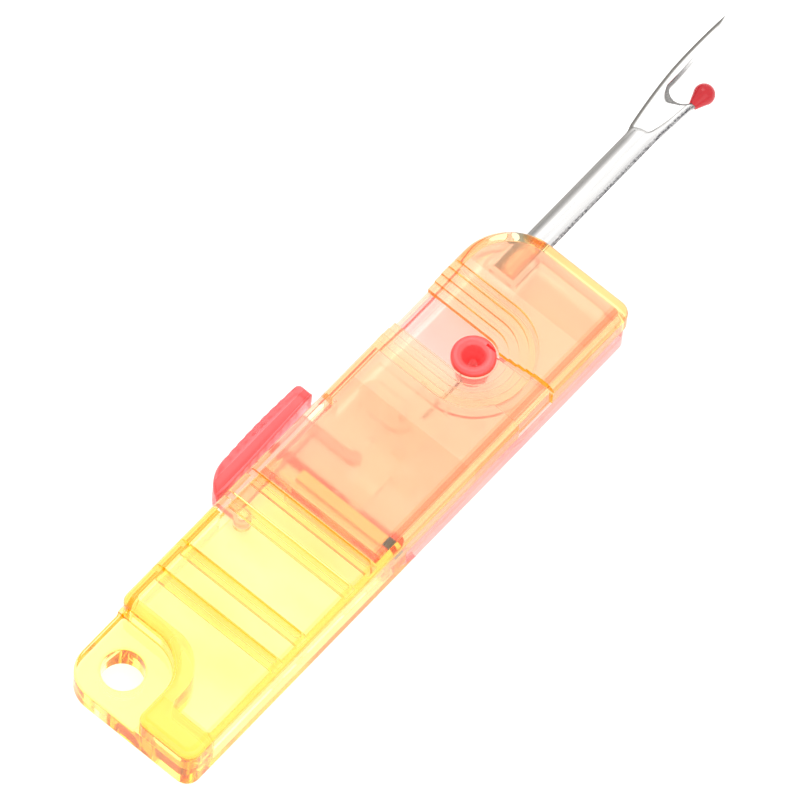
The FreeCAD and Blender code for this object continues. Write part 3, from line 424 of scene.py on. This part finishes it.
def dress_all():
    """Materials for the nodes that keep the CAD's mesh. Where both halves of the handle lie over
    each other, the tints stand for the orange that they make together. The deeper tints on the
    upright walls of the tail, the recess and the right side, and the band on the thumb lever, are
    painted shade."""
    tail, head = (-20.0, 33.0), (33.0, 200.0)
    ceiling, floor = (7.0, 7.3), (1.2, 1.4)
    yellow = clear_plastic(
        "yellow_clear",
        (0.5, 24.0, 180.0),
        frosted=[(*ceiling, 0.14), (*floor, 0.1)],
        tints=[
            ("level", {"Z": ceiling, "Y": tail}, (1.0, 0.94, 0.84), (1.0, 0.88, 0.66)),
            ("level", {"Z": ceiling, "Y": (25.5, 33.0)}, (1.0, 0.86, 0.56), (1.0, 0.76, 0.36)),
            ("level", {"Z": ceiling, "Y": head}, (1.0, 0.68, 0.5), (1.0, 0.6, 0.42)),
            ("level", {"Z": ceiling, "Y": (31.6, 32.65)}, (1.0, 0.18, 0.06), (1.0, 0.14, 0.04)),
            ("level", {"Z": floor, "Y": tail}, (1.0, 0.96, 0.8), (1.0, 0.86, 0.36)),
            ("level", {"Z": floor, "Y": head}, (1.0, 0.74, 0.82), (1.0, 0.68, 0.78)),
            ("level", {"Z": (6.2, 6.9), "Y": tail}, (1.0, 0.84, 0.4), (1.0, 0.7, 0.2)),
            ("level", {"Z": (7.9, 8.2), "Y": tail}, (1.0, 0.88, 0.6), (1.0, 0.78, 0.4)),
            # Upright faces in the tail take a deeper yellow than the level ones: painted shade on
            # the walls.
            ("upright", {"Y": tail}, (1.0, 0.93, 0.62), (1.0, 0.86, 0.46)),
            ("upright", {"Y": head}, (1.0, 0.74, 0.5), (1.0, 0.64, 0.42)),
            ("level", {"Z": (6.3, 8.4), "Y": (50.0, 73.0)}, (1.0, 0.88, 0.76), (1.0, 0.82, 0.66)),
            # The recess's upright walls take a deep orange: painted shade.
            ("upright", {"Z": (5.5, 8.5), "Y": (50.0, 73.0)}, (1.0, 0.56, 0.32), (1.0, 0.46, 0.24)),
            ("any", {"Y": (79.9, 200.0)}, (1.0, 0.78, 0.54), (1.0, 0.66, 0.42)),
            ("any", {"X": (-9.0, -4.5), "Y": (72.0, 200.0)}, (1.0, 0.7, 0.5), (1.0, 0.6, 0.42)),
            ("level", {"Z": (8.4, 9.0), "Y": (-20.0, -1.0)}, (1.0, 0.93, 0.62), (1.0, 0.86, 0.46)),
            (
                "level",
                {"Z": (8.4, 9.0), "X": (14.9, 17.0), "Y": tail},
                (1.0, 0.95, 0.7),
                (1.0, 0.9, 0.58),
            ),
        ],
    )
    pink = clear_plastic(
        "pink_clear",
        (1.0, 40.0, 44.0),
        frosted=[(7.0, 7.1, 0.3), (5.9, 6.2, 0.16)],
        tints=[
            ("level", {"Z": (4.9, 9.0)}, (1.0, 0.8, 0.75), (1.0, 0.74, 0.67)),
            ("level", {"Z": (-1.0, 1.5)}, (1.0, 0.95, 0.94), (1.0, 0.9, 0.88)),
            ("level", {"X": (13.65, 15.0), "Z": (4.9, 9.0)}, (1.0, 0.6, 0.4), (1.0, 0.52, 0.34)),
            ("level", {"X": (14.1, 14.8), "Z": (4.9, 9.0)}, (1.0, 0.26, 0.1), (1.0, 0.2, 0.07)),
            ("upright", {"X": (13.0, 15.5)}, (1.0, 0.78, 0.62), (1.0, 0.7, 0.54)),
            # The right side's upright walls take a deep pink: painted shade.
            ("upright", {"X": (15.5, 17.0)}, (1.0, 0.36, 0.38), (1.0, 0.28, 0.31)),
        ],
        ior=INNER_IOR,
    )
    red = clear_plastic(
        "red_clear",
        (8.0, 300.0, 285.0),
        # A band along the pad's inner side and neck, painted darker red as shade.
        tints=[("level", {"X": (-8.2, -6.8)}, (1.0, 0.36, 0.32), (1.0, 0.28, 0.25))],
        rough=(0.25, 0.4),
    )
    # The funnel's glow is painted light that brightens its shaded bore.
    funnel_red = red_plastic(
        "funnel_red", (0.86, 0.08, 0.08), (0.95, 0.14, 0.14), gloss=(0.06, 0.12), painted_glow=0.16
    )
    ball_red = red_plastic(
        "ball_red", (0.5, 0.006, 0.014), (0.62, 0.014, 0.024), gloss=(0.03, 0.06)
    )
    keeper = clear_plastic("keeper_clear", (1.0, 10.0, 12.0), ior=INNER_IOR)
    pale = clear_plastic("pale_clear", (2.0, 16.0, 30.0), ior=INNER_IOR)
    dress(yellow, "yellow_shell", "front_shell", "handle_back")
    dress(pink, "pink_shell", "mechanism_tray", "back_cover")
    dress(keeper, "pink_shell", "slide_keeper")
    dress(red, "red_plastic", "thumb_lever")
    dress(funnel_red, "red_plastic", "needle_funnel")
    dress(ball_red, "red_plastic", "safety_ball")
    dress(pale, "white_plastic", "threader_slide", "return_spring", "lever_pivot_pin")
    drawn = steel("drawn_steel", (0.5, 0.5, 0.5), (0.72, 0.72, 0.72), 0.2, 0.34)
    dress(drawn.material, "pin_steel", "threader_hook")


# ---- pieces made finer than the CAD ---------------------------------------------------

def copy_of(name, title):
    """A free copy of a CAD node's mesh, with its doubled points merged."""
    mesh = nodes[name].data.copy()
    mesh.name = title
    work = bmesh.new()
    work.from_mesh(mesh)
    bmesh.ops.remove_doubles(work, verts=work.verts, dist=1e-7)
    work.to_mesh(mesh)
    work.free()
    piece = bpy.data.objects.new(title, mesh)
    piece.matrix_world = nodes[name].matrix_world
    bpy.context.scene.collection.objects.link(piece)
    return piece


def make_spring():
    """The zigzag leaf, which closes up as the slide comes forward, as a copy fixed to the handle;
    nothing here bends it.
    """
    spring = copy_of("return_spring", "spring_leaf")
    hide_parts("return_spring")
    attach(spring, "handle")
    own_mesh(spring)


# Outline of the blade in mm, from the CAD: each arc goes through three points.
BLADE_LOW = 4.4  # height of its underside
BLADE_SHEET = 0.9  # thickness of the strip it is stamped from
CROWN = 1.5  # height of the half-round shank
SHANK_LEFT = -2.15
SHANK_RIGHT = 1.55
SHANK_MIDDLE = (SHANK_LEFT + SHANK_RIGHT) / 2
CROTCH = ((1.27, 110.1), (-0.45, 109.1), (-2.1, 110.3))
INNER_SIDE = ((-2.1, 110.3), (-2.35, 116.2), (-3.55, 123.1))
OUTER_TOP = ((-3.65, 112.6), (-3.75, 117.2), (-3.55, 123.1))
OUTER_LOW = ((-2.15, 101.7), (-3.05, 107.0), (-3.65, 112.6))
PRONG_SIDE = ((1.55, 102.7), (1.95, 109.6), (2.2, 110.2), (2.2, 111.9))
PRONG_INNER = 1.5
BLADE_END = 123.08
PRONG_END = 111.9
# The line where the shank runs out: its y on the left and in the middle, and its rise on the right.
RUN_OUT_LEFT = 102.5
RUN_OUT_MIDDLE = 103.0
RUN_OUT_RIGHT = 1.35
RUN_OUT_LEAD = 0.2
RUN_OUT_RISE = 7.4
SHANK_FLATTENS = (100.7, 104.7)
FORK_STARTS = (99.7, 104.2)
STEP_DOWN = (-0.5, 0.25)  # how far before and past the run-out line the height falls
STEP_LINE = 0.09  # half width of the dull line along it, which is also painted shade
THINNEST = 0.06
FAR = 9.0  # further than any edge of the blade
# Dull and torn edges, which also carry painted shade: how far they reach in, and how strongly.
ROLLED_BAND = 2.1
ROLLED_FALL = 0.7
RIM_SHARP = 0.3
RIM_BAND = 0.75
EDGE_FALL_LEFT = (0.3, 0.2)  # how deep the edge falls and over what width
EDGE_FALL_RIGHT = (0.25, 0.15)
TORN_AND_SHADE_BAND = (0.1, 0.5)
DULL_AND_SHADE_SHARE = 0.8
UNDERSIDE_DULL_AND_SHADE = (0.2, 0.0)
# The sharpened crescent in the crotch, painted grey as shade: its width at the sides and what is
# added in its middle.
CRESCENT_SIDE = 0.35
CRESCENT_DEEP = 0.7
CRESCENT_X = -1.15
CRESCENT_WIDTH = 0.9
CRESCENT_FADE = (111.0, 117.5)
CRESCENT_FULL = 0.7  # the share of its width that is fully grey
CRESCENT_DIP = 0.25
CRESCENT_TORN_AND_SHADE = 0.5
# The mesh.
SMOOTH_ABOVE = 0.3  # a face less level than this is shaded flat
TANG_ROWS = (74.6, 1.2, 5)  # first row, spacing and number inside the handle
FINE_START = 80.6
FINE_STEP = 0.12
CROTCH_ROWS = (0.01, 1.6, 9)  # first distance past the crotch, its growth and the number
ACROSS = 34


def circle_through(a, b, c):
    """Centre and radius of the circle through three points."""
    bx, by = b[0] - a[0], b[1] - a[1]
    cx, cy = c[0] - a[0], c[1] - a[1]
    twice = 2 * (bx * cy - by * cx)
    x = a[0] + (cy * (bx * bx + by * by) - by * (cx * cx + cy * cy)) / twice
    y = a[1] + (bx * (cx * cx + cy * cy) - cx * (bx * bx + by * by)) / twice
    return x, y, sqrt((a[0] - x) ** 2 + (a[1] - y) ** 2)


def arc_x(arc, y, side):
    """Where a row at y meets the arc, on the given side of the arc's centre."""
    x, middle, radius = circle_through(*arc)
    return x + side * sqrt(max(0.0, radius * radius - (y - middle) ** 2))


def side_of(arc):
    """The side of its circle's centre that an arc's middle point lies on."""
    return 1 if arc[1][0] > circle_through(*arc)[0] else -1


def outer_x(y):
    """The blade's left edge at y."""
    if y < OUTER_LOW[0][1]:
        return SHANK_LEFT
    arc = OUTER_LOW if y < OUTER_LOW[2][1] else OUTER_TOP
    return arc_x(arc, y, side_of(arc))


def right_x(y):
    """The blade's right edge at y."""
    if y <= PRONG_SIDE[0][1]:
        return SHANK_RIGHT
    for (x0, y0), (x1, y1) in zip(PRONG_SIDE, PRONG_SIDE[1:]):
        if y <= y1:
            return x0 + (x1 - x0) * (y - y0) / (y1 - y0)
    return PRONG_SIDE[-1][0]


def gap_x(y, side):
    """The edge of the gap between the prongs on its left (-1) or right (+1) side."""
    if y <= CROTCH[1][1]:
        return CROTCH[1][0]
    if side < 0 and y > CROTCH[2][1]:
        return arc_x(INNER_SIDE, y, side_of(INNER_SIDE))
    if side > 0 and y > CROTCH[0][1]:
        return PRONG_INNER
    return arc_x(CROTCH, y, side)


def smooth(low, high, value):
    """0 up to low, 1 from high on, and an even curve between them."""
    t = min(1.0, max(0.0, (value - low) / (high - low)))
    return t * t * (3 - 2 * t)


def run_out(x, y):
    """Distance past the line where the half-round shank runs out into the flat fork."""
    start = RUN_OUT_LEFT + (RUN_OUT_MIDDLE - RUN_OUT_LEFT) * smooth(SHANK_LEFT, 0.0, x)
    rise = max(0.0, x + RUN_OUT_LEAD) / (RUN_OUT_RIGHT + RUN_OUT_LEAD)
    start += RUN_OUT_RISE * rise ** 3
    slope = 3 * RUN_OUT_RISE * rise * rise / (RUN_OUT_RIGHT + RUN_OUT_LEAD)
    return (y - start) / sqrt(1.0 + slope * slope)


def crotch_gap(x, y, side):
    """Distance from a place in the metal to the sharpened edge between the prongs."""
    if side < 0 and y > CROTCH[2][1]:
        return gap_x(y, -1) - x
    if side > 0 and y > CROTCH[0][1]:
        return x - PRONG_INNER + (y - CROTCH[0][1])
    centre_x, centre_y, radius = circle_through(*CROTCH)
    return sqrt((x - centre_x) ** 2 + (y - centre_y) ** 2) - radius


def crescent(x, y, side):
    """How deep in the sharpened crescent, painted grey as shade, a place lies: 1 at its edge, 0
    outside it.
    """
    width = CRESCENT_SIDE + CRESCENT_DEEP * exp(-((x - CRESCENT_X) / CRESCENT_WIDTH) ** 2)
    fade = 1 - smooth(*CRESCENT_FADE, y)
    return fade * (1 - smooth(width * CRESCENT_FULL, width, crotch_gap(x, y, side)))


def blade_point(x, y, left, right, side):
    """Height of the blade's front surface, and how dull and how torn it is there, which also sets
    its painted shade.
    """
    radius = (CROWN ** 2 + (SHANK_RIGHT - SHANK_LEFT) ** 2 / 4) / (2 * CROWN)
    across = min(abs(x - SHANK_MIDDLE), (SHANK_RIGHT - SHANK_LEFT) / 2)
    round_top = sqrt(radius * radius - across * across) - (radius - CROWN)
    past = run_out(x, y)
    shank = max(round_top, BLADE_SHEET * smooth(*SHANK_FLATTENS, y))
    high = shank + (BLADE_SHEET - shank) * smooth(*STEP_DOWN, past)
    from_left = x - left
    from_right = right - x
    fork = smooth(*FORK_STARTS, y)
    fall_left = fork * EDGE_FALL_LEFT[0] * exp(-from_left / EDGE_FALL_LEFT[1])
    fall_right = fork * EDGE_FALL_RIGHT[0] * exp(-from_right / EDGE_FALL_RIGHT[1])
    high -= fall_left + fall_right
    cut = crescent(x, y, side)
    high -= CRESCENT_DIP * cut
    slope = 1 - min(1.0, max(0.0, from_left / ROLLED_BAND))
    rim = 1 - smooth(RIM_SHARP, RIM_BAND, from_left)
    # The dull mark paints shade along the rolled left edge, on the run-out line and in the
    # crescent, and makes them rougher.
    dull_and_shade = slope ** ROLLED_FALL * (1 - fork) + rim * fork
    dull_and_shade = max(dull_and_shade, DULL_AND_SHADE_SHARE * exp(-(past / STEP_LINE) ** 2), DULL_AND_SHADE_SHARE * cut)
    # The torn mark makes the right edge rough and paints shade along it.
    torn_and_shade = max(1 - smooth(*TORN_AND_SHADE_BAND, from_right), CRESCENT_TORN_AND_SHADE * cut)
    return max(THINNEST, high), dull_and_shade, torn_and_shade


def blade_rows():
    """The y of each row of points: coarse in the handle, fine outside it, finest at the crotch."""
    first, spacing, count = TANG_ROWS
    rows = [first + spacing * i for i in range(count)]
    rows += [FINE_START + FINE_STEP * i for i in range(int((BLADE_END - FINE_START) / FINE_STEP))]
    start, growth, count = CROTCH_ROWS
    rows += [CROTCH[1][1] + start * growth ** i for i in range(count)]
    return sorted(set(round(y, 4) for y in rows)) + [BLADE_END]


def blade_patch(work, side, layers):
    """One side of the blade: its front surface, its underside and the walls between them."""
    end = BLADE_END if side < 0 else PRONG_END
    grid = []
    for y in [y for y in blade_rows() if y <= end]:
        left = outer_x(y) if side < 0 else gap_x(y, 1)
        right = gap_x(y, -1) if side < 0 else right_x(y)
        in_gap = y > CROTCH[1][1]
        rolled = left - FAR if in_gap and side > 0 else outer_x(y)
        sheared = right + FAR if in_gap and side < 0 else right_x(y)
        row = []
        for i in range(ACROSS + 1):
            x = left + (right - left) * i / ACROSS
            high, dull_and_shade, torn_and_shade = blade_point(x, y, rolled, sheared, side)
            top = work.verts.new(Vector((x, y, BLADE_LOW + high)) * MM)
            under = work.verts.new(Vector((x, y, BLADE_LOW + max(0.0, high - BLADE_SHEET))) * MM)
            # Each point carries how dull and torn it is, and so its painted shade; the underside
            # takes a little of it.
            for vert, finish_and_shade in ((top, (dull_and_shade, torn_and_shade)), (under, UNDERSIDE_DULL_AND_SHADE)):
                vert[layers[0]], vert[layers[1]] = finish_and_shade
            row.append((top, under))
        grid.append(row)
    for low_row, high_row in zip(grid, grid[1:]):
        for i in range(ACROSS):
            quad = (low_row[i], low_row[i + 1], high_row[i + 1], high_row[i])
            work.faces.new([v[0] for v in quad])
            work.faces.new([v[1] for v in reversed(quad)])
        work.faces.new((low_row[0][1], low_row[0][0], high_row[0][0], high_row[0][1]))
        work.faces.new((low_row[-1][0], low_row[-1][1], high_row[-1][1], high_row[-1][0]))
    for row, turn in ((grid[0], 1), (grid[-1], -1)):
        for i in range(ACROSS):
            quad = (row[i][1], row[i + 1][1], row[i + 1][0], row[i][0])
            work.faces.new(quad[::turn])


def make_blade():
    """The blade with its rolled and torn edges and the run-out of its half-round shank."""
    work = bmesh.new()
    layers = [work.verts.layers.float.new(title) for title in ("dull_and_shade", "torn_and_shade")]
    for side in (-1, 1):
        blade_patch(work, side, layers)
    bmesh.ops.remove_doubles(work, verts=work.verts, dist=1e-7)
    mesh = bpy.data.meshes.new("blade_stamping")
    work.to_mesh(mesh)
    work.free()
    for face in mesh.polygons:
        face.use_smooth = abs(face.normal.z) > SMOOTH_ABOVE
    mesh.materials.append(blade_steel())
    blade = bpy.data.objects.new("blade_stamping", mesh)
    bpy.context.scene.collection.objects.link(blade)
    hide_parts("ripper_blade")
    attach(blade, "handle")


# ---- the picture ----------------------------------------------------------------------

def set_picture():
    scene = bpy.context.scene
    scene.view_settings.view_transform = "Standard"
    scene.view_settings.look = "None"
    scene.cycles.max_bounces = BOUNCES
    scene.cycles.transmission_bounces = BOUNCES
    scene.cycles.transparent_max_bounces = BOUNCES
    scene.cycles.glossy_bounces = BOUNCES
    scene.cycles.diffuse_bounces = 4
    scene.cycles.use_denoising = True


make_camera()
make_world()
make_floor()
make_lamp("key", place=(-0.35, 0.25, 0.75), size=0.5, power=0.85)
make_lamp("fill", place=(0.55, -0.2, 0.6), size=0.6, power=0.45)
set_picture()
dress_all()
make_spring()
make_blade()
